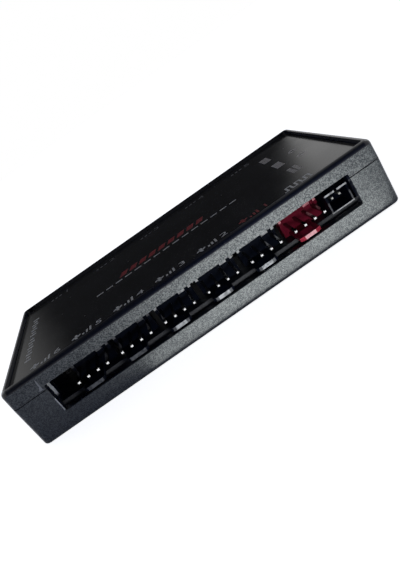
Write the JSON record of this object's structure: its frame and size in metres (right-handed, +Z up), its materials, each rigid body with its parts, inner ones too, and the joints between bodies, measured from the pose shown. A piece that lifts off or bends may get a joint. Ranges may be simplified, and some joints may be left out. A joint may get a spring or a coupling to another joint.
{
  "type": "pc fan controller hub",
  "caption": "Low black two-part case with a row of fan pin headers in its front edge, a control socket beside them, lighting headers at the back and a power inlet in one end.",
  "frame": {"origin": "middle of the underside", "axes": "+X along the length towards the control socket, -Y out of the fan headers, +Z up"},
  "size_m": [0.0966, 0.0516, 0.016],
  "materials": {
    "case_plastic": "fine spark texture, satin black",
    "label_film": "smooth semi-gloss black print",
    "board_laminate": "black solder mask over glass laminate",
    "screw_steel": "black zinc",
    "socket_plastic": "moulded black nylon",
    "header_plastic": "moulded black nylon",
    "red_header_plastic": "moulded dark red nylon",
    "tinned_pin": "bright tin plate",
    "gilt_contact": "thin gold plate",
    "chip_resin": "matt moulded resin",
    "can_metal": "drawn can",
    "fuse_body": "dull green laminate",
    "chip_ceramic": "fired ceramic"
  },
  "bodies": {
    "root": {"bottom_case": "case_plastic", "top_cover": "case_plastic", "label_panel": "label_film", "circuit_board": "board_laminate", "case_screws": "screw_steel", "control_socket": "socket_plastic", "control_pins": "tinned_pin", "power_inlet": "header_plastic", "power_contacts": "gilt_contact", "controller_chip": "chip_resin", "buffer_chip": "chip_resin", "bulk_capacitors": "can_metal", "resettable_fuses": "fuse_body", "chip_resistors": "chip_resin", "chip_capacitors": "chip_ceramic", "fan_header_1": "red_header_plastic", "fan_pins_1": "tinned_pin", "fan_header_2": "header_plastic", "fan_pins_2": "tinned_pin", "fan_header_3": "header_plastic", "fan_pins_3": "tinned_pin", "fan_header_4": "header_plastic", "fan_pins_4": "tinned_pin", "fan_header_5": "header_plastic", "fan_pins_5": "tinned_pin", "fan_header_6": "header_plastic", "fan_pins_6": "tinned_pin", "light_header_1": "header_plastic", "light_pins_1": "tinned_pin", "light_header_2": "header_plastic", "light_pins_2": "tinned_pin", "light_header_3": "header_plastic", "light_pins_3": "tinned_pin", "light_header_4": "header_plastic", "light_pins_4": "tinned_pin", "light_header_5": "header_plastic", "light_pins_5": "tinned_pin"}
  },
  "joints": []
}
